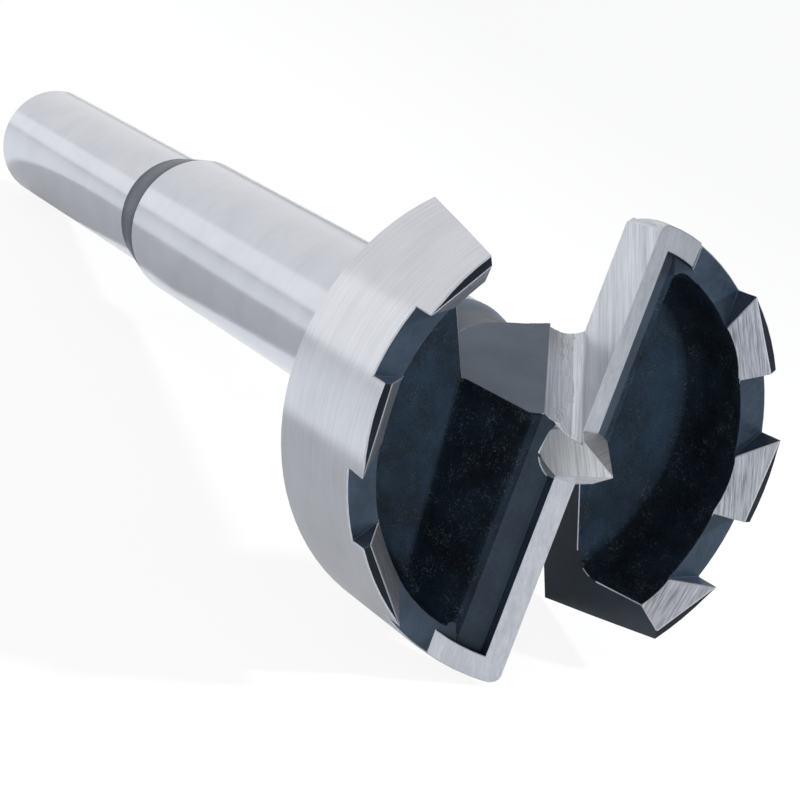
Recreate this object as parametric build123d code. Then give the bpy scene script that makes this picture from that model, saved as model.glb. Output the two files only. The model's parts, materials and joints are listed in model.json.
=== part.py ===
from build123d import *
import math
import os

os.makedirs("parts", exist_ok=True)

# The bit is modelled about its own axis: Z points to the cutting end, z = 0 is the floor of the
# tooth gullets, and X runs outwards along one cutting lip. All lengths in mm, angles in degrees.
headDiameter = 32.0
headDepth = 9.3          # gullet floor to the rear face of the head
shankDiameter = 10.0     # the part held in the chuck
shankLength = 28.5
taperLength = 4.2        # unground taper between shank and neck
neckDiameter = 11.7
bodyLength = 90.5        # shank end to gullet floor
shankEndChamfer = 0.25
waistDiameter = 10.9     # unground waist between the neck and the head
waistLength = 4.0
waistTaper = 2.2         # length of the cone from the neck down to the waist
neckFillet = 1.9         # between the waist and the rear face of the head

# Rim teeth, three on each half.
toothHeight = 2.0
toothLead = -33.1        # direction of the tooth tip next to the lip, seen from the lip
toothPitch = 39.7
toothCount = 3
toothSpan = 21.9         # tip to trailing outer corner
rimInnerRadius = 13.9    # inner edge of the rim at gullet level
leadInnerRadius = 14.0
leadInnerTurn = 6.2      # how far the inner end of a leading wall lies behind its tip
trailInnerTurn = 24.2
crestFall = 0.11         # drop of the crest behind the tip, per mm
crestSlope = 0.117       # drop of the crest towards the wall, per mm
facetTilt = 45.0         # ground inner facet of a tooth, from the level
facetTurn = 12.1

# Cutting lip: a raised ground land with a dark flank behind it.
lipHeight = 1.74
lipAhead = 0.49          # the lip runs this far ahead of the centre line
rakeAngle = 26.9
landRelief = 0.25        # fall of the ground land behind the lip, per mm
landWidth = 1.5
landInnerRadius = 14.4
landTrail = 3.9          # trailing wall of the land at the rim, behind the centre line
landTrailLean = 1.0      # run of its trailing wall, per mm of depth
flankStep = 0.8
flankFall = 0.337
flankStart = 4.0         # its inner end, on the far side of the axis

# Forged pocket behind the lip.
pocketDepth = 5.2        # at the axis; the floor rises towards the end of the lip
pocketRise = 0.085       # rise of the floor, per mm
pocketDraft = 7.5
pocketFloorRadius = 2.0
pocketWallRadius = 0.8   # between the blade wall and the rest of the pocket
flankEdgeRadius = 0.7    # between the flank and the blade wall
bladeWallBehind = 3.3    # top edge of the blade wall behind the centre line
bladeWallLean = 0.491    # mm of lean for each mm of depth

# Chip opening: end face of the half, side of the web and the ground root beside the lip.
endFaceDistance = 5.43
endFaceTurn = 116.4
endFaceTilt = 11.3
webFaceDistance = 2.71
webFaceTurn = -156.4
webFaceTilt = 14.1
rootReach = 1.9          # inner end of the ground root from the axis, at gullet level
rootSlant = 0.45         # its outer end lies this much further out
rootHollow = 0.3         # sag of its profile, at rootBelly of its width from the lip
rootBelly = 0.55
rootWidth = 2.95
rootDrift = 0.47         # outward run of the root for each mm of depth

# Centre point, a stub ground to four flats.
pointHeight = 5.75
pointRadius = 2.15
pointFlats = ((-95.1, 70.1), (-1.1, 67.4))   # direction and tilt of two neighbours

headRadius = headDiameter / 2
shankEnd = -bodyLength
taperStart = shankEnd + shankLength
taperEnd = taperStart + taperLength
waistStart = -headDepth - waistLength
flankEdge = lipAhead - landWidth
flankTop = lipHeight - landRelief * landWidth - flankStep
overlap = toothHeight / 2           # how far an added piece reaches into the body
above = toothHeight + pointHeight
cutterSize = 4 * headDiameter
rakeSlope = math.tan(math.radians(rakeAngle))


def polar(radius, angle, height=0.0):
    a = math.radians(angle)
    return (radius * math.cos(a), radius * math.sin(a), height)


def beyond(normal, point):
    """Large block on the side of a plane that the normal points to."""
    block = Box(cutterSize, cutterSize, cutterSize, align=(Align.CENTER, Align.CENTER, Align.MIN))
    return Plane(origin=point, z_dir=normal) * block


def facing(turn, tilt):
    """Normal that points in direction turn and is tilted from the axis."""
    return polar(math.sin(math.radians(tilt)), turn, math.cos(math.radians(tilt)))


def slab(x0, x1, y0, y1, z0, z1):
    return Pos((x0 + x1) / 2, (y0 + y1) / 2, (z0 + z1) / 2) * Box(x1 - x0, y1 - y0, z1 - z0)


def turnedBody():
    """Shank, taper, neck, waist and head blank, turned as one piece."""
    with BuildPart() as body:
        with BuildSketch(Plane.XZ):
            with BuildLine():
                Polyline(
                    (0, shankEnd),
                    (shankDiameter / 2 - shankEndChamfer, shankEnd),
                    (shankDiameter / 2, shankEnd + shankEndChamfer),
                    (shankDiameter / 2, taperStart),
                    (neckDiameter / 2, taperEnd),
                    (neckDiameter / 2, waistStart - waistTaper),
                    (waistDiameter / 2, waistStart),
                    (waistDiameter / 2, -headDepth - neckFillet),
                )
                RadiusArc(
                    (waistDiameter / 2, -headDepth - neckFillet),
                    (waistDiameter / 2 + neckFillet, -headDepth),
                    neckFillet,
                )
                Polyline(
                    (waistDiameter / 2 + neckFillet, -headDepth),
                    (headRadius, -headDepth),
                    (headRadius, above),
                    (0, above),
                    (0, shankEnd),
                )
            make_face()
        revolve(axis=Axis.Z)
    return body.part


def tooth(tipAngle):
    """One rim tooth, with its crest and its ground inner facet."""
    tip = polar(headRadius, tipAngle, toothHeight)
    leadOuter = Vector(*polar(headRadius, tipAngle))
    leadInner = Vector(*polar(leadInnerRadius, tipAngle - leadInnerTurn))
    trailOuter = Vector(*polar(headRadius, tipAngle - toothSpan))
    trailInner = Vector(*polar(rimInnerRadius, tipAngle - trailInnerTurn))
    leadRun = leadOuter - leadInner
    trailRun = trailOuter - trailInner
    outline = Polyline(
        leadInner - leadRun, leadOuter + leadRun, trailOuter + trailRun, trailInner - trailRun, close=True
    )
    block = Pos(0, 0, -overlap) * extrude(make_face(outline), toothHeight + 2 * overlap, dir=(0, 0, 1))
    a = math.radians(tipAngle)
    crest = (
        crestSlope * math.cos(a) + crestFall * math.sin(a),
        crestSlope * math.sin(a) - crestFall * math.cos(a),
        1.0,
    )
    block -= beyond(crest, tip)
    return block - beyond(facing(tipAngle + 180 - facetTurn, facetTilt), tip)


def lipLand():
    """Raised land of the lip: a strip beside it and a piece of the rim behind it."""
    strip = slab(0, headDiameter, flankEdge, lipAhead, -overlap, above)
    strip += slab(0, headDiameter, -headRadius, lipAhead, -overlap, above) - Cylinder(landInnerRadius, 3 * above)
    trailHeight = lipHeight - landRelief * (lipAhead + landTrail)
    strip -= beyond((0, -1, landTrailLean), (0, -landTrail, trailHeight))
    return strip - beyond((0, -landRelief, 1), (0, lipAhead, lipHeight))


def flank():
    """Dark flank that falls from the land to the pocket."""
    block = slab(-flankStart, headDiameter, -landTrail, flankEdge, -overlap, above)
    return block - beyond((0, -flankFall, 1), (0, flankEdge, flankTop))


def pocket():
    """Forged hollow between rim and lip blade."""
    depth = pocketDepth + pocketRise * headRadius
    rise = above + depth
    lean = math.tan(math.radians(pocketDraft))
    bowl = Pos(0, 0, rise / 2 - depth) * Cone(
        rimInnerRadius - lean * depth, rimInnerRadius + lean * above, rise
    )
    bowl -= beyond((pocketRise, 0, -1), (0, 0, -pocketDepth))
    bowl = fillet(bowl.faces().sort_by(Axis.Z)[0].edges(), pocketFloorRadius)
    wallFacing = Vector(0, 1, -bladeWallLean).normalized()
    blade = beyond(wallFacing, (0, -bladeWallBehind, 0))
    blade &= slab(-cutterSize, cutterSize, -cutterSize, cutterSize, -cutterSize, 0)
    flankEnd = flankEdge - flankTop / flankFall
    blade += slab(-cutterSize, cutterSize, flankEnd, cutterSize, -overlap, above + overlap)
    hollow = bowl - blade
    ridges = hollow.edges().filter_by(Axis.X)
    ridge = min(ridges, key=lambda e: math.hypot(e.center().Y + bladeWallBehind, e.center().Z))
    hollow = fillet(ridge, flankEdgeRadius)
    wall = max(hollow.faces(), key=lambda f: f.normal_at().dot(wallFacing))
    seam = wall.edges() - wall.edges().filter_by(Axis.X)
    return fillet(seam, pocketWallRadius)


def chipOpening():
    """Opening ahead of the other half's lip, milled through the head until it runs out on the waist."""
    rake = (0, -1, -rakeSlope)
    end = facing(endFaceTurn, 90 - endFaceTilt)
    web = facing(webFaceTurn, 90 - webFaceTilt)
    void = beyond(rake, (0, -lipAhead, lipHeight))
    void &= beyond(end, [-endFaceDistance * c for c in end])
    void &= beyond(web, [webFaceDistance * c for c in web])
    level = rakeSlope * lipHeight - lipAhead
    inner = (-rootReach, level - rootWidth)
    middle = (-rootReach - rootSlant * (1 - rootBelly) + rootHollow, level - rootWidth * rootBelly)
    outer = (-rootReach - rootSlant, level)
    behind = 2 * rootWidth
    outline = ThreePointArc(inner, middle, outer) + Polyline(
        outer, (outer[0] - behind, outer[1]), (inner[0] - behind, inner[1]), inner
    )
    run = Vector(-rootDrift, rakeSlope, -1)
    start = run * -pointHeight
    root = Pos(*start) * extrude(
        make_face(outline), amount=(pointHeight + headDepth + overlap) * run.length, dir=run
    )
    keep = slab(-cutterSize, cutterSize, -cutterSize, cutterSize, -headDepth - waistLength, above)
    return (void + root) & keep


def centrePoint():
    stub = Pos(0, 0, pointHeight / 2) * Cylinder(pointRadius, pointHeight + 2 * overlap)
    for turn, tilt in pointFlats:
        for side in (0, 180):
            stub -= beyond(facing(turn + side, tilt), (0, 0, pointHeight))
    return stub


def lyingDown(shape):
    """Lays the bit on its shank end, one lip corner and the end face corner across the opening."""
    lipTurn = math.degrees(math.asin(lipAhead / headRadius))
    lean = math.radians(endFaceTilt)
    rearOffset = (endFaceDistance - headDepth * math.sin(lean)) / math.cos(lean)
    endTurn = endFaceTurn - 90 + math.degrees(math.asin(rearOffset / headRadius))
    lipCorner = Vector(*polar(headRadius, lipTurn, lipHeight))
    endCorner = Vector(*polar(headRadius, endTurn, -headDepth))
    edge = endCorner - lipCorner
    contact = shankEnd + shankEndChamfer
    height = lipCorner.Z - contact
    a = lipCorner.X - height * edge.X / edge.Z
    b = lipCorner.Y - height * edge.Y / edge.Z
    turn = math.atan2(b, a)
    swing = math.acos(shankDiameter / 2 / math.hypot(a, b))
    middle = math.radians((lipTurn + endTurn) / 2)
    down = min(turn - swing, turn + swing, key=lambda t: abs(math.remainder(t - middle, 2 * math.pi)))
    slope = -(math.cos(down) * edge.X + math.sin(down) * edge.Y) / edge.Z
    tilt = math.degrees(math.atan(slope))
    flat = Rot(0, 90, 0) * Rot(0, 0, -math.degrees(down)) * shape
    level = Rot(0, tilt, 0) * flat
    box = level.bounding_box()
    return Pos(-(box.min.X + box.max.X) / 2, -(box.min.Y + box.max.Y) / 2, -box.min.Z) * level


halves = [Rot(0, 0, side) for side in (0, 180)]
form = slab(-cutterSize, cutterSize, -cutterSize, cutterSize, shankEnd - overlap, 0)
for half in halves:
    form += half * flank()
    form += half * lipLand()
    for i in range(toothCount):
        form += half * tooth(toothLead - i * toothPitch)
bit = turnedBody() & form
for half in halves:
    bit -= half * pocket()
bit += centrePoint()
for half in halves:
    bit -= half * chipOpening()
bit = lyingDown(bit)
export_step(bit.solid(), "parts/forstner_bit.step")
print("volume", round(bit.volume, 1), "solids", len(bit.solids()), "faces", len(bit.faces()), "valid", bit.is_valid)
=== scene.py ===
import json
import math
import bmesh
import bpy
from mathutils import Matrix, Vector


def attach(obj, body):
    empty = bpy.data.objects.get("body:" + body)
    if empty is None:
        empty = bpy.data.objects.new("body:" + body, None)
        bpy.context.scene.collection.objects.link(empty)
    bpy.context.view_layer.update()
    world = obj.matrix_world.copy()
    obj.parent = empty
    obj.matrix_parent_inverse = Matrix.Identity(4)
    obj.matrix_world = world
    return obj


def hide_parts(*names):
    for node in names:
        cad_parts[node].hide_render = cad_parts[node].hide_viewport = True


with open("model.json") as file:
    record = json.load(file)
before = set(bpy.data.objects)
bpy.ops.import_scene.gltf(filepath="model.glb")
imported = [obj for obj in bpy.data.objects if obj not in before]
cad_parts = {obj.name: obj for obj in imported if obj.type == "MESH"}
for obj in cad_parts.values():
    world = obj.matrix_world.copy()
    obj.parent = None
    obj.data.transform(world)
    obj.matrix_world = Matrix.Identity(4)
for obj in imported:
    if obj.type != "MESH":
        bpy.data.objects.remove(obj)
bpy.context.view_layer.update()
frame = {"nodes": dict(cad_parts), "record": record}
print("frame loaded", sorted(frame["nodes"]))


# ---- the bit's own frame, in mm: Z towards the cutting end, X along one lip, 0 at the gullet floor
bitFrame = {
    "mountHeight": -76.125,   # middle of the gripped shank, where the record's mount lies
    "roll": 13.662,           # degrees from the lip to the ground
}


def bitToRow():
    mount = frame["record"]["mounts"][0]
    axis = -Vector(mount["axis"]).normalized()
    tilt = math.atan2(axis.z, axis.x)
    roll = math.radians(-bitFrame["roll"])
    rotation = Matrix.Rotation(math.pi / 2 - tilt, 4, "Y") @ Matrix.Rotation(roll, 4, "Z")
    origin = Vector(mount["pos_m"]) * 1000 - axis * bitFrame["mountHeight"]
    return Matrix.Scale(0.001, 4) @ Matrix.Translation(origin) @ rotation


toRow = bitToRow()
toBit = toRow.inverted()
turnToRow = toRow.to_3x3().normalized()
level = Vector((0, 0, 1))


def polar(radius, angle, height=0.0):
    return Vector((radius * math.cos(math.radians(angle)), radius * math.sin(math.radians(angle)), height))


def facing(turn, tilt):
    return polar(math.sin(math.radians(tilt)), turn, math.cos(math.radians(tilt)))


def halfTurned(vector, side):
    # the same vector on the bit's other half when side is -1
    return Vector((vector.x * side, vector.y * side, vector.z))


# ---- node helpers
def linear(hexColour):
    parts = [int(hexColour[i:i + 2], 16) / 255 for i in (1, 3, 5)]
    return tuple(c / 12.92 if c <= 0.04045 else ((c + 0.055) / 1.055) ** 2.4 for c in parts) + (1.0,)


def grey(value):
    return (value, value, value, 1.0)


def addNode(tree, kind, settings=None, links=None):
    # inputs go by name, or by number where several share a name, and "stops" are those of a colour ramp
    node = tree.nodes.new(kind)
    for name, value in (settings or {}).items():
        if name == "stops":
            for element, (place, colour) in zip(node.color_ramp.elements, value):
                element.position, element.color = place, colour
        elif isinstance(name, int) or name in node.inputs:
            node.inputs[name].default_value = value
        else:
            setattr(node, name, value)
    for name, source in (links or {}).items():
        tree.links.new(source, node.inputs[name])
    return node


def newMaterial(name, surface):
    material = bpy.data.materials.new(name)
    material.use_nodes = True
    tree = material.node_tree
    tree.nodes.clear()
    shader = addNode(tree, "ShaderNodeBsdfPrincipled", surface)
    addNode(tree, "ShaderNodeOutputMaterial", links={"Surface": shader.outputs[0]})
    material.diffuse_color = surface["Base Color"]
    return material, tree, shader


def streaks(tree, source, stretch, perMm, detail=4.0, roughness=0.6):
    # long narrow noise: the vector is in mm and is squeezed along the stroke
    squeezed = addNode(tree, "ShaderNodeVectorMath", {"operation": "MULTIPLY", 1: stretch}, {0: source})
    return addNode(tree, "ShaderNodeTexNoise", {"Scale": perMm, "Detail": detail, "Roughness": roughness},
                   {"Vector": squeezed.outputs[0]}).outputs["Fac"]


def dress(tree, shader, colour, rough, height, strength, distance):
    bump = addNode(tree, "ShaderNodeBump", {"Strength": strength, "Distance": distance}, {"Height": height})
    for name, node in (("Base Color", colour), ("Roughness", rough), ("Normal", bump)):
        tree.links.new(node.outputs[0], shader.inputs[name])


# ---- materials
# High speed steel, surface ground: light neutral grey with parallel strokes 0.1 to 0.2 mm apart, in bands of up
# to 1 mm. The real scratches are finer, and are drawn this coarse so that they show.
groundFinish = {
    "groundLand": {
        "name": "ground steel land", "dark": "#A9ACB3", "light": "#BDC0C6", "rough": 0.42, "bump": 0.03,
        "coarsePerMm": 1.5, "finePerMm": 7.0, "stretch": 0.25, "contrast": (0.34, 0.62)},
    "groundFacet": {
        "name": "ground steel tooth facet", "dark": "#767981", "light": "#BBBEC6", "rough": 0.44, "bump": 0.16,
        "coarsePerMm": 5.0, "finePerMm": 12.0, "stretch": 0.05, "contrast": (0.36, 0.62)},
    "groundRake": {
        "name": "ground steel rake face", "dark": "#AEB1B9", "light": "#CFD2D8", "rough": 0.42, "bump": 0.06,
        "coarsePerMm": 1.0, "finePerMm": 5.0, "stretch": 0.03, "contrast": (0.36, 0.60)},
    "groundRoot": {
        "name": "ground steel root", "dark": "#979AA2", "light": "#D0D3D9", "rough": 0.38, "bump": 0.12,
        "coarsePerMm": 1.6, "finePerMm": 5.0, "stretch": 0.015, "contrast": (0.38, 0.58)},
    "groundPoint": {
        "name": "ground steel centre point", "dark": "#B8BBC1", "light": "#EEF0F2", "rough": 0.46,
        "bump": 0.14, "coarsePerMm": 4.0, "finePerMm": 11.0, "stretch": 0.03, "contrast": (0.36, 0.58)},
}
groundStrokes = {"coarseShare": 0.55, "fineDetail": 2.0, "roughSpread": (0.06, -0.04), "bumpDistance": 0.00003}


def groundSteel(finish):
    tones = (linear(finish["dark"]), linear(finish["light"]))
    material, tree, shader = newMaterial(finish["name"], {"Metallic": 1.0, "Base Color": tones[1]})
    strokes = addNode(tree, "ShaderNodeUVMap", {"uv_map": "strokes"}).outputs[0]
    along = (finish["stretch"], 1.0, 1.0)
    coarse = streaks(tree, strokes, along, finish["coarsePerMm"])
    fine = streaks(tree, strokes, along, finish["finePerMm"], groundStrokes["fineDetail"])
    pattern = addNode(tree, "ShaderNodeMix", {0: groundStrokes["coarseShare"]},
                      {2: fine, 3: coarse}).outputs[0]
    roughs = [grey(finish["rough"] + more) for more in groundStrokes["roughSpread"]]
    colour = addNode(tree, "ShaderNodeValToRGB", {"stops": zip(finish["contrast"], tones)}, {"Fac": pattern})
    rough = addNode(tree, "ShaderNodeValToRGB", {"stops": zip(finish["contrast"], roughs)}, {"Fac": pattern})
    dress(tree, shader, colour, rough, pattern, finish["bump"], groundStrokes["bumpDistance"])
    return material


# The same steel ground between centres: smoother, with rings round the axis and a faint cloud 3 mm across. The
# rings are 0.2 mm apart, coarser than the real ones, so that they show.
roundFinish = {
    "groundRim": {
        "name": "ground steel rim wall", "dark": "#C0C2C8", "light": "#CACCD2", "rough": 0.14, "bump": 0.006,
        "stretch": (0.03, 0.03, 1.0), "ringShare": 0.6},
    "groundShank": {
        "name": "ground steel shank and neck", "dark": "#C0C3CA", "light": "#C7C9D0", "rough": 0.15,
        "bump": 0.0004, "stretch": (0.04, 0.04, 1.0), "ringShare": 0.25},
    "groundEnd": {
        "name": "faced steel shank end", "dark": "#9EA0A6", "light": "#C0C2C8", "rough": 0.34, "bump": 0.08,
        "stretch": (1.0, 1.0, 0.05), "ringShare": 0.6},
}
roundRings = {"ringsPerMm": 5.0, "cloudPerMm": 0.3, "cloudDetail": 3.0, "contrast": (0.38, 0.60),
              "roughBetween": (0.3, 0.7), "roughSpread": (-0.02, 0.04), "bumpDistance": 0.00002}


def roundGround(finish):
    tones = (linear(finish["dark"]), linear(finish["light"]))
    material, tree, shader = newMaterial(finish["name"], {"Metallic": 1.0, "Base Color": tones[1]})
    place = addNode(tree, "ShaderNodeAttribute", {"attribute_name": "bitPlace"}).outputs["Vector"]
    rings = streaks(tree, place, finish["stretch"], roundRings["ringsPerMm"])
    cloud = addNode(tree, "ShaderNodeTexNoise", {
        "Scale": roundRings["cloudPerMm"], "Detail": roundRings["cloudDetail"]},
        {"Vector": place}).outputs["Fac"]
    pattern = addNode(tree, "ShaderNodeMix", {0: finish["ringShare"]}, {2: cloud, 3: rings}).outputs[0]
    roughs = [grey(finish["rough"] + more) for more in roundRings["roughSpread"]]
    colour = addNode(tree, "ShaderNodeValToRGB", {
        "stops": zip(roundRings["contrast"], tones)}, {"Fac": pattern})
    rough = addNode(tree, "ShaderNodeValToRGB", {
        "stops": zip(roundRings["roughBetween"], roughs)}, {"Fac": cloud})
    dress(tree, shader, colour, rough, rings, finish["bump"], roundRings["bumpDistance"])
    return material


# Black oxide (magnetite) grown on the steel: blue-black, a thin skin with a satin gloss. On turned steel it
# keeps the lathe's rings, 0.3 mm apart. On forged steel it is matt and grained at 0.2 mm, with flecks rubbed
# bright.
oxideFinish = {
    "oxideMilled": {
        "name": "black oxide on milled steel", "dark": "#3B434F", "light": "#48505C", "rough": (0.30, 0.40),
        "specular": 0.55, "grainPerMm": 2.0, "bump": 0.04, "bumpDistance": 0.00002},
    "oxideEnd": {
        "name": "black oxide on milled end face", "dark": "#12171D", "light": "#1D242C", "rough": (0.30, 0.42),
        "specular": 0.40, "grainPerMm": 2.0, "bump": 0.05, "bumpDistance": 0.00002},
    "oxideRim": {
        "name": "black oxide on milled rim", "dark": "#1A222D", "light": "#293442", "rough": (0.34, 0.46),
        "specular": 0.48, "grainPerMm": 3.0, "bump": 0.08, "bumpDistance": 0.00002},
    "oxideFlank": {
        "name": "black oxide on milled flank", "dark": "#131A22", "light": "#212B36", "rough": (0.34, 0.46),
        "specular": 0.42, "grainPerMm": 3.0, "bump": 0.08, "bumpDistance": 0.00002},
    "oxideForged": {
        "name": "black oxide on forged steel", "dark": "#070B0F", "light": "#22364A", "rough": (0.40, 0.60),
        "specular": 0.56, "grainPerMm": 4.5, "bump": 1.0, "bumpDistance": 0.00018, "isForged": True},
    "oxideCrest": {
        "name": "black oxide on tooth crest", "dark": "#0A0D11", "light": "#12171D", "rough": (0.40, 0.52),
        "specular": 0.22, "grainPerMm": 3.0, "bump": 0.08, "bumpDistance": 0.00002},
    "oxideTurned": {
        "name": "black oxide on turned steel", "dark": "#1C222A", "light": "#343C47", "rough": (0.32, 0.44),
        "specular": 0.55, "ringsPerMm": 3.5, "bump": 0.12, "bumpDistance": 0.00003},
}
oxideSkin = {"tint": "#CCE2F8", "ior": 1.5, "grainShare": 0.45, "grainDetail": 5.0, "grainRoughness": 0.65,
             "ringStretch": (0.05, 0.05, 1.0), "cloudPerMm": 0.35, "cloudDetail": 3.0,
             "contrast": (0.38, 0.60), "roughBetween": (0.35, 0.65)}
forgedScale = {
    "unshadedBetween": (0.80, 0.98), "shadedShare": 0.28,   # painted shade: full tone where a face looks to the cutting end, darkened on the walls
    "floorHeight": -2.5, "wallLimit": 0.86,            # above the pocket floors the painted shade never fully lifts
    "fleck": "#54636E", "fleckShare": 0.55, "fleckBetween": (0.565, 0.65),
    "specksPerMm": 7.5, "specksDetail": 3.0, "specksRoughness": 0.7, "specksShare": 0.74,
    "clustersPerMm": 0.8, "clustersDetail": 2.0,
}


def shadedAndRubbedScale(tree, shader, place, colour, specular):
    # the skin gets painted shade, darker and less glossy on walls and in corners than where it faces the
    # cutting end, and rubbed flecks
    scale = forgedScale
    upwards = addNode(tree, "ShaderNodeAttribute", {"attribute_name": "upwards"}).outputs["Fac"]
    # painted shade: faces turned away from the cutting end drop to the shaded share of colour and gloss
    unshaded = addNode(tree, "ShaderNodeMapRange", {
        "From Min": scale["unshadedBetween"][0], "From Max": scale["unshadedBetween"][1],
        "To Min": scale["shadedShare"], "To Max": 1.0}, {"Value": upwards}).outputs[0]
    gloss = addNode(tree, "ShaderNodeMath", {"operation": "MULTIPLY", 1: specular}, {0: unshaded}).outputs[0]
    tree.links.new(gloss, shader.inputs["Specular IOR Level"])
    specks = addNode(tree, "ShaderNodeTexNoise", {
        "Scale": scale["specksPerMm"], "Detail": scale["specksDetail"], "Roughness": scale["specksRoughness"]},
        {"Vector": place}).outputs["Fac"]
    clusters = addNode(tree, "ShaderNodeTexNoise", {
        "Scale": scale["clustersPerMm"], "Detail": scale["clustersDetail"]}, {"Vector": place}).outputs["Fac"]
    clustered = addNode(tree, "ShaderNodeMix", {0: scale["specksShare"]}, {2: clusters, 3: specks}).outputs[0]
    flecks = addNode(tree, "ShaderNodeValToRGB", {
        "stops": zip(scale["fleckBetween"], (grey(0.0), grey(scale["fleckShare"])))}, {"Fac": clustered})
    # a Mix node of colours has them at inputs 6 and 7 and its result at output 2
    # the painted shade darkens the colour here
    shadedColour = addNode(tree, "ShaderNodeMix", {"data_type": "RGBA", "blend_type": "MULTIPLY", 0: 1.0},
                     {6: colour, 7: unshaded}).outputs[2]
    return addNode(tree, "ShaderNodeMix", {"data_type": "RGBA", 7: linear(scale["fleck"])},
                   {0: flecks.outputs[0], 6: shadedColour}).outputs[2]


def blackOxide(finish):
    skin = oxideSkin
    tones = (linear(finish["dark"]), linear(finish["light"]))
    material, tree, shader = newMaterial(finish["name"], {
        "Metallic": 0.0, "IOR": skin["ior"], "Specular IOR Level": finish["specular"],
        "Specular Tint": linear(skin["tint"]), "Base Color": tones[1]})
    place = addNode(tree, "ShaderNodeAttribute", {"attribute_name": "bitPlace"}).outputs["Vector"]
    if "ringsPerMm" in finish:
        grain = streaks(tree, place, skin["ringStretch"], finish["ringsPerMm"])
    else:
        grain = addNode(tree, "ShaderNodeTexNoise", {
            "Scale": finish["grainPerMm"], "Detail": skin["grainDetail"], "Roughness": skin["grainRoughness"]},
            {"Vector": place}).outputs["Fac"]
    cloud = addNode(tree, "ShaderNodeTexNoise", {
        "Scale": skin["cloudPerMm"], "Detail": skin["cloudDetail"]}, {"Vector": place}).outputs["Fac"]
    pattern = addNode(tree, "ShaderNodeMix", {0: skin["grainShare"]}, {2: cloud, 3: grain}).outputs[0]
    colour = addNode(tree, "ShaderNodeValToRGB", {"stops": zip(skin["contrast"], tones)}, {"Fac": pattern})
    rough = addNode(tree, "ShaderNodeValToRGB", {
        "stops": zip(skin["roughBetween"], map(grey, finish["rough"]))}, {"Fac": grain})
    dress(tree, shader, colour, rough, grain, finish["bump"], finish["bumpDistance"])
    if finish.get("isForged"):
        shadedAndRubbed = shadedAndRubbedScale(tree, shader, place, colour.outputs[0], finish["specular"])
        tree.links.new(shadedAndRubbed, shader.inputs["Base Color"])
    return material


materials = {key: roundGround(finish) for key, finish in roundFinish.items()}
materials.update({key: groundSteel(finish) for key, finish in groundFinish.items()})
materials.update({key: blackOxide(finish) for key, finish in oxideFinish.items()})
materialOrder = list(materials)
print("materials made", len(materials))


# ---- which finish each face of the bit has, by its plane or its place
toolShape = {
    "headRadius": 16.0, "headDepth": 9.3, "waistStart": -15.5, "taperStart": -62.0, "taperEnd": -57.8,
    "lipHeight": 1.74, "lipAhead": 0.49, "rakeAngle": 26.9,
    "landRelief": 0.25, "landWidth": 1.5, "landStrokes": (1, 0.15, 0),
    "landTrail": 3.9, "trailStrokes": (1, 0, 0), "flankStep": 0.8, "flankFall": 0.337, "pocketWall": 13.9,
    "toothHeight": 2.0, "toothTips": (-33.1, -72.8, -112.5),
    "facetTilt": 45.0, "facetTurn": 12.1, "facetStrokes": (-10, 13, 17),
    "endFace": (116.4, 78.7), "endDistance": 5.43, "webFace": (-156.4, 75.9), "webDistance": 2.71,
    "rootDrift": 0.47, "rootAcross": (-3.0, -1.2), "rootAlong": (-2.8, 0.45),
    "pointHeight": 5.75, "pointRadius": 2.15,
    "pointFlats": ((-95.1, 70.1), (-1.1, 67.4)), "pointStrokes": 36.8,
}
rakeSlope = math.tan(math.radians(toolShape["rakeAngle"]))
grindRun = Vector((-toolShape["rootDrift"], rakeSlope, -1.0)).normalized()


def strokesOn(normal, swing):
    return Matrix.Rotation(math.radians(swing), 3, normal) @ normal.cross(level).normalized()


def planesOfHalf():
    # finish, outward normal, a point on the plane and the direction of the strokes
    shape = toolShape
    lip = Vector((0, shape["lipAhead"], shape["lipHeight"]))
    end, web = facing(*shape["endFace"]), facing(*shape["webFace"])
    flankTop = Vector((0, shape["lipAhead"] - shape["landWidth"],
                       shape["lipHeight"] - shape["landRelief"] * shape["landWidth"] - shape["flankStep"]))
    trailHeight = shape["lipHeight"] - shape["landRelief"] * (shape["lipAhead"] + shape["landTrail"])
    trail = Vector((0, -shape["landTrail"], trailHeight))
    table = [
        ("groundRake", Vector((0, -1, -rakeSlope)), halfTurned(lip, -1), grindRun),
        ("oxideEnd", end, -shape["endDistance"] * end, level),
        ("oxideMilled", web, shape["webDistance"] * web, level),
        ("groundLand", Vector((0, -shape["landRelief"], 1)), lip, Vector(shape["landStrokes"])),
        ("groundLand", Vector((0, -1, 1)), trail, Vector(shape["trailStrokes"])),
        ("oxideFlank", Vector((0, -shape["flankFall"], 1)), flankTop, level),
        ("oxideFlank", Vector((0, -1, 0)), flankTop, level),
    ]
    for tip, swing in zip(shape["toothTips"], shape["facetStrokes"]):
        normal = facing(tip + 180 - shape["facetTurn"], shape["facetTilt"])
        table.append(("groundFacet", normal, polar(shape["headRadius"], tip, shape["toothHeight"]),
                      strokesOn(normal, swing)))
    top = level * shape["pointHeight"]
    for turn, tilt in shape["pointFlats"]:
        normal = facing(turn, tilt)
        table.append(("groundPoint", normal, top, strokesOn(normal, shape["pointStrokes"])))
    return [(finish, normal.normalized(), point, strokes.normalized())
            for finish, normal, point, strokes in table]


halfPlanes = planesOfHalf()

# how near a face must be to count: cosines between normals, and lengths in mm
faceTest = {
    "samePlane": 0.9995, "planeGap": 0.03, "pointReach": 3.0, "alongRoot": 0.3,
    "shankEnd": 0.3, "roundWall": 0.9, "rimWall": 0.98, "rimDepth": 0.15, "backGap": 0.01,
    "pointWall": 0.05, "pointFoot": 0.2, "pointGap": 0.1, "crestUp": 0.8, "crestFoot": 0.1,
    "pocketTop": -0.03, "pocketGap": 0.1, "pocketRim": 0.5, "pocketSide": -0.95, "onAxis": 0.01,
}


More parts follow.
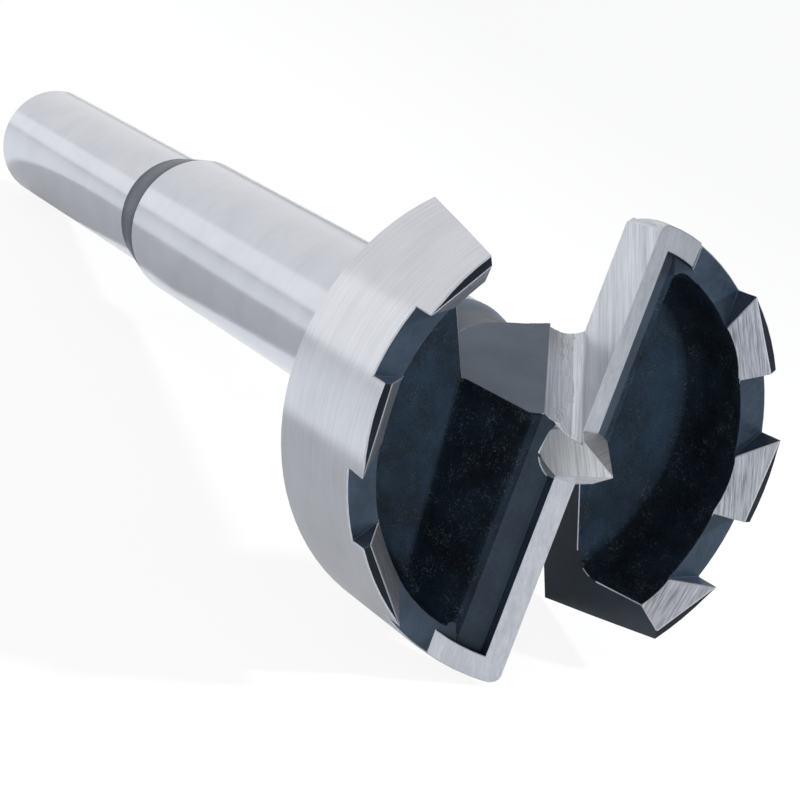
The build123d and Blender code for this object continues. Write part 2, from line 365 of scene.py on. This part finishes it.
def finishOf(normal, centre):
    # returns the finish and the direction of its grinding strokes
    shape, test = toolShape, faceTest
    radius = math.hypot(centre.x, centre.y)
    outwards = Vector((centre.x, centre.y, 0)).normalized() if radius > test["onAxis"] else level
    if centre.z < shape["taperStart"]:
        return ("groundEnd" if abs(normal.z) > test["shankEnd"] else "groundShank"), level
    if centre.z < shape["taperEnd"]:
        return "oxideTurned", level
    if centre.z < shape["waistStart"] and abs(normal.dot(outwards)) > test["roundWall"]:
        return "groundShank", level
    for side in (1, -1):   # each half is the other's half turn
        n, c = halfTurned(normal, side), halfTurned(centre, side)
        for finish, face, point, strokes in halfPlanes:
            if n.dot(face) > test["samePlane"] and abs((c - point).dot(face)) < test["planeGap"]:
                if finish == "groundPoint" and radius > test["pointReach"]:
                    continue
                return finish, halfTurned(strokes, side)
        across, lengthways = c.x - shape["rootDrift"] * c.z, c.y + rakeSlope * c.z
        inRoot = (shape["rootAcross"][0] < across < shape["rootAcross"][1]
                  and shape["rootAlong"][0] < lengthways < shape["rootAlong"][1])
        if inRoot and abs(n.dot(grindRun)) < test["alongRoot"]:
            return "groundRoot", halfTurned(grindRun, side)
    if radius > shape["headRadius"] - test["rimDepth"] and normal.dot(outwards) > test["rimWall"]:
        return "groundRim", level
    onPoint = centre.z > test["pointFoot"] and radius < shape["pointRadius"] + test["pointGap"]
    if onPoint and abs(normal.z) < test["pointWall"]:
        return "groundPoint", level
    if centre.z < test["backGap"] - shape["headDepth"]:
        return "oxideTurned", level
    if centre.z > test["crestFoot"] and normal.z > test["crestUp"] and radius > shape["pocketWall"]:
        return "oxideCrest", level
    inPocket = centre.z < test["pocketTop"] or radius < shape["pocketWall"] - test["pocketGap"]
    onWall = normal.dot(outwards) < test["pocketSide"] and radius < shape["pocketWall"] + test["pocketRim"]
    return ("oxideForged" if inPocket or onWall else "oxideRim"), level


# ---- the bit: a merged copy of the CAD solid, with its sharp edges broken and a finish on each face
edgeBreak = {
    "width": 0.05, "rimWidth": 0.09, "sharpAngle": 24.0,
    "rubbedWidest": (["groundRim", "oxideRim"], ["groundRim", "oxideCrest"]),
    "leftSoft": ["oxideFlank", "oxideForged"],
    "smallestFace": 0.02,                          # mm2, an edge beside a smaller face stays sharp
    "cornerWidth": 0.65, "cornerSegments": 6,
    "seamsBetween": (-0.1, 0.975), "pointsBetween": (0.01, 0.78),   # mm behind the rake face
    "wallGap": 0.05,
    "sliver": 0.05,                                # mm2
    "flatAngle": 0.3, "weld": 0.002, "weldAfter": 0.0005,
    "roundWall": 0.97, "shortStroke": 0.05,        # cosine to the wall, and sine to the stroke
}


def finishesAt(edge):
    return sorted(materialOrder[f.material_index] for f in edge.link_faces)


def setFinish(face, finish):
    face.material_index = materialOrder.index(finish)


def markFinishes(bm):
    for face in bm.faces:
        setFinish(face, finishOf(face.normal, face.calc_center_median())[0])
    # slivers take the finish of their largest neighbour
    for face in sorted(bm.faces, key=lambda f: f.calc_area()):
        if face.calc_area() < edgeBreak["sliver"]:
            around = [f for e in face.edges for f in e.link_faces if f is not face]
            face.material_index = max(around, key=lambda f: f.calc_area()).material_index
    bmesh.ops.dissolve_limit(bm, angle_limit=math.radians(edgeBreak["flatAngle"]), verts=bm.verts,
                             edges=bm.edges, delimit={"MATERIAL"}, use_dissolve_boundaries=False)
    bm.normal_update()


def mergeNarrowRim(bm):
    # the narrow facets of the rim wall beside a rake face join into one that can carry the rounded corner
    _, normal, point, _ = halfPlanes[0]

    def isBehindRake(vert, between):
        depth = (point - halfTurned(vert.co, -1 if vert.co.x > 0 else 1)).dot(normal)
        return between[0] < depth < between[1]

    seams = [e for e in bm.edges if finishesAt(e) == ["groundRim", "groundRim"]
             and all(isBehindRake(v, edgeBreak["seamsBetween"]) for v in e.verts)]
    bmesh.ops.dissolve_edges(bm, edges=seams, use_verts=True)
    # points left along the joined facet's edges would stop the rounding short
    onWall = toolShape["headRadius"] - edgeBreak["wallGap"]
    leftOver = [v for v in bm.verts if len(v.link_edges) == 2 and v.co.xy.length > onWall
                and isBehindRake(v, edgeBreak["pointsBetween"])]
    bmesh.ops.dissolve_verts(bm, verts=leftOver)
    bm.normal_update()


def roundCorners(bm):
    # the corner where a rake face meets the rim wall is rounded by hand
    corners = [e for e in bm.edges if finishesAt(e) == ["groundRake", "groundRim"]]
    bmesh.ops.bevel(bm, geom=corners, offset=edgeBreak["cornerWidth"], segments=edgeBreak["cornerSegments"],
                    profile=0.5, affect="EDGES", clamp_overlap=False,
                    material=materialOrder.index("groundRake"))
    bm.normal_update()


def breakEdges(bm):
    # the edges rubbed widest first, then every other sharp edge that touches none of their strips
    isStrip = bm.faces.layers.int.new("isStrip")
    limit = math.radians(edgeBreak["sharpAngle"])
    for width, only in ((edgeBreak["rimWidth"], edgeBreak["rubbedWidest"]), (edgeBreak["width"], None)):
        sharp = [e for e in bm.edges if len(e.link_faces) == 2 and e.calc_face_angle() > limit
                 and min(f.calc_area() for f in e.link_faces) > edgeBreak["smallestFace"]
                 and not any(f[isStrip] for f in e.link_faces)
                 and finishesAt(e) != edgeBreak["leftSoft"] and (only is None or finishesAt(e) in only)]
        made = bmesh.ops.bevel(bm, geom=sharp, offset=width, segments=1, affect="EDGES",
                               clamp_overlap=False, material=-1)
        for face in made["faces"]:
            face[isStrip] = 1
        bm.normal_update()
    # a strip is rubbed bare beside a ground face and between the end face and a pocket
    for face in bm.faces:
        if not face[isStrip]:
            continue
        around = [materialOrder[f.material_index] for e in face.edges for f in e.link_faces if not f[isStrip]]
        isWorn = "oxideEnd" in around and "oxideForged" in around
        if isWorn or any(finish.startswith("ground") for finish in around):
            setFinish(face, "groundLand")
        elif "oxideForged" in around:
            setFinish(face, "oxideForged")


def layStrokes(bm):
    # the UV map runs in mm along and across each face's strokes, and every vertex keeps its place on the bit
    strokesLayer = bm.loops.layers.uv.new("strokes")
    placeLayer = bm.verts.layers.float_vector.new("bitPlace")
    for vert in bm.verts:
        vert[placeLayer] = vert.co
    for face in bm.faces:
        strokes = finishOf(face.normal, face.calc_center_median())[1]
        u = strokes - face.normal * strokes.dot(face.normal)
        u = (u if u.length > edgeBreak["shortStroke"] else face.normal.orthogonal()).normalized()
        v = face.normal.cross(u)
        for loop in face.loops:
            loop[strokesLayer].uv = (loop.vert.co.dot(u), loop.vert.co.dot(v))
        face.smooth = True


def cornerNormals(bm):
    # round walls get their true normal, other faces the average of the neighbours they run smoothly into
    limit = math.cos(math.radians(edgeBreak["sharpAngle"]))
    normals = []
    for face in bm.faces:
        isRound = materialOrder[face.material_index] in ("groundRim", "groundShank")
        for loop in face.loops:
            co = loop.vert.co
            outwards = Vector((co.x, co.y, 0)).normalized()
            if isRound and face.normal.dot(outwards) > edgeBreak["roundWall"]:
                normals.append(outwards)
                continue
            total = Vector()
            for other in loop.vert.link_faces:
                if other.normal.dot(face.normal) > limit:
                    total += other.normal * other.calc_area()
            normals.append(total.normalized() if total.length > 0 else face.normal.copy())
    return normals


def printAreas(bm):
    areas = dict.fromkeys(materialOrder, 0.0)
    for face in bm.faces:
        areas[materialOrder[face.material_index]] += face.calc_area()
    print("areas by finish, mm2", {finish: round(area, 1) for finish, area in areas.items()})


def markUpwards(mesh, normals):
    # how far each corner of a face looks towards the cutting end, which sets the painted shade on the forged
    # scale
    upwards = mesh.attributes.new("upwards", "FLOAT", "CORNER")
    heights = [mesh.vertices[loop.vertex_index].co.z for loop in mesh.loops]
    upwards.data.foreach_set("value", [
        n.z if height < forgedScale["floorHeight"] else min(n.z, forgedScale["wallLimit"])
        for n, height in zip(normals, heights)])


def buildBit():
    mesh = frame["nodes"]["forstner_bit"].data.copy()
    mesh.name = "forstner bit"
    mesh.materials.clear()
    for material in materials.values():
        mesh.materials.append(material)
    mesh.transform(toBit)
    bm = bmesh.new()
    bm.from_mesh(mesh)
    bmesh.ops.remove_doubles(bm, verts=bm.verts, dist=edgeBreak["weld"])
    bm.normal_update()
    for step in (markFinishes, mergeNarrowRim, roundCorners, breakEdges):
        step(bm)
    bmesh.ops.triangulate(bm, faces=bm.faces)
    bmesh.ops.remove_doubles(bm, verts=bm.verts, dist=edgeBreak["weldAfter"])
    bm.normal_update()
    layStrokes(bm)
    normals = cornerNormals(bm)
    printAreas(bm)
    bm.to_mesh(mesh)
    bm.free()
    markUpwards(mesh, normals)
    mesh.transform(toRow)
    mesh.normals_split_custom_set([(turnToRow @ n).normalized() for n in normals])
    bit = bpy.data.objects.new("bitDressed", mesh)
    bpy.context.scene.collection.objects.link(bit)
    return bit


bit = buildBit()
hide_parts("forstner_bit")
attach(bit, "root")
print("bit built", len(bit.data.polygons), "faces")


# ---- floor, light and camera, in metres
studio = {
    "floorSize": 6.0, "floorDrop": 0.0001, "floorRough": 0.9, "floorSpecular": 0.2,
    "floorColour": "#C9CBCE", "shadedFarColour": "#84878C", "shadeBetween": (0.03, 0.09),
    "whiteToCamera": 0.90, "whiteToSteel": 0.2,
    "sky": "#FFFFFF", "skyBright": 1.0, "skyDim": 0.35, "dimBetween": (0.45, 0.75),
    "key": {"turn": 72.0, "rise": 29.0, "distance": 0.6, "size": (0.05, 0.04), "power": 7.6},
    "strip": {"turn": 259.0, "distance": 0.6, "slide": -1.2, "size": (5.0, 0.46), "power": 1.62,
              "middle": -45.0},   # mm, the place on the bit's axis that the slide starts from
}


def buildFloor():
    half = studio["floorSize"] / 2
    mesh = bpy.data.meshes.new("floor")
    corners = [(-half, -half, 0), (half, -half, 0), (half, half, 0), (-half, half, 0)]
    mesh.from_pydata(corners, [], [(0, 1, 2, 3)])
    material, tree, shader = newMaterial("white paper floor", {
        "Base Color": linear(studio["floorColour"]), "Roughness": studio["floorRough"],
        "Specular IOR Level": studio["floorSpecular"]})
    # painted shade: the paper is darker past the bit's far side, so the steel reflects a darker floor there
    place = addNode(tree, "ShaderNodeTexCoord").outputs["Object"]
    side = addNode(tree, "ShaderNodeSeparateXYZ", links={"Vector": place}).outputs["Y"]
    paper = (linear(studio["floorColour"]), linear(studio["shadedFarColour"]))
    shade = addNode(tree, "ShaderNodeMapRange", {
        "From Min": studio["shadeBetween"][0], "From Max": studio["shadeBetween"][1]},
        {"Value": side}).outputs[0]
    colour = addNode(tree, "ShaderNodeValToRGB", {"stops": zip((0.0, 1.0), paper)}, {"Fac": shade})
    tree.links.new(colour.outputs[0], shader.inputs["Base Color"])
    # the camera sees a whiter paper than the lamps leave, and the steel sees part of that white
    rays = addNode(tree, "ShaderNodeLightPath").outputs
    bySteel = addNode(tree, "ShaderNodeMath", {"operation": "ADD"},
                      {0: rays["Is Glossy Ray"], 1: rays["Is Transmission Ray"]}).outputs[0]
    toSteel = addNode(tree, "ShaderNodeMath", {"operation": "MULTIPLY", 1: studio["whiteToSteel"]},
                      {0: bySteel}).outputs[0]
    share = addNode(tree, "ShaderNodeMath", {"operation": "MULTIPLY_ADD", 1: studio["whiteToCamera"]},
                    {0: rays["Is Camera Ray"], 2: toSteel}).outputs[0]
    white = addNode(tree, "ShaderNodeEmission", {"Strength": 1.0})
    both = addNode(tree, "ShaderNodeMixShader", links={0: share, 1: shader.outputs[0], 2: white.outputs[0]})
    output = next(node for node in tree.nodes if node.bl_idname == "ShaderNodeOutputMaterial")
    tree.links.new(both.outputs[0], output.inputs["Surface"])
    mesh.materials.append(material)
    floor = bpy.data.objects.new("floor", mesh)
    floor.location.z = -studio["floorDrop"]
    bpy.context.scene.collection.objects.link(floor)


def buildWorld():
    # a bright room that is dimmer on the far side, behind the key
    world = bpy.data.worlds.new("studio")
    bpy.context.scene.world = world
    world.use_nodes = True
    tree = world.node_tree
    tree.nodes.clear()
    towards = addNode(tree, "ShaderNodeTexCoord").outputs["Generated"]
    side = addNode(tree, "ShaderNodeSeparateXYZ", links={"Vector": towards}).outputs["Y"]
    strength = addNode(tree, "ShaderNodeMapRange", {
        "From Min": studio["dimBetween"][0], "From Max": studio["dimBetween"][1],
        "To Min": studio["skyBright"], "To Max": studio["skyDim"]}, {"Value": side}).outputs[0]
    sky = addNode(tree, "ShaderNodeBackground", {"Color": linear(studio["sky"])}, {"Strength": strength})
    addNode(tree, "ShaderNodeOutputWorld", links={"Surface": sky.outputs[0]})


def softBox(name, settings, place, long, towards):
    # a rectangular lamp at a place, its long side along one direction and its face turned another
    light = bpy.data.lights.new(name, "AREA")
    light.shape = "RECTANGLE"
    light.size, light.size_y = settings["size"]
    light.energy = settings["power"]
    lamp = bpy.data.objects.new(name, light)
    z = -towards.normalized()
    x = (long - z * long.dot(z)).normalized()
    lamp.matrix_world = Matrix.Translation(place) @ Matrix((x, z.cross(x), z)).transposed().to_4x4()
    bpy.context.scene.collection.objects.link(lamp)
    return lamp


def buildLights():
    # the key stands beside the bit, and a long strip of light lies along it on the other side
    key, strip = studio["key"], studio["strip"]
    place = key["distance"] * facing(key["turn"], 90 - key["rise"])
    lamp = softBox("key softbox", key, place, Vector((1, 0, 0)), -place)
    lamp.visible_glossy = False   # the steel shows the room and the floor, not the lamp itself
    axis, side = turnToRow @ level, turnToRow @ polar(1.0, strip["turn"])
    place = toRow @ (level * strip["middle"]) + side * strip["distance"] + axis * strip["slide"]
    softBox("strip softbox", strip, place, axis, -side)


cameraView = {
    "place": (0.166312, -0.092281, 0.075550),
    "right": (0.460335, 0.864927, 0.199984),
    "up": (-0.411016, 0.007979, 0.911593),
    "lens": 114.62, "sensor": 36.0, "clip": (0.005, 20.0),
}


def buildCamera():
    data = bpy.data.cameras.new("camera")
    data.lens = cameraView["lens"]
    data.sensor_width = cameraView["sensor"]
    data.clip_start, data.clip_end = cameraView["clip"]
    camera = bpy.data.objects.new("camera", data)
    right, up = Vector(cameraView["right"]).normalized(), Vector(cameraView["up"]).normalized()
    turn = Matrix((right, up, right.cross(up))).transposed().to_4x4()
    camera.matrix_world = Matrix.Translation(cameraView["place"]) @ turn
    bpy.context.scene.collection.objects.link(camera)
    bpy.context.scene.camera = camera


buildFloor()
buildWorld()
buildLights()
buildCamera()
bpy.context.scene.view_settings.view_transform = "Standard"
print("studio set")
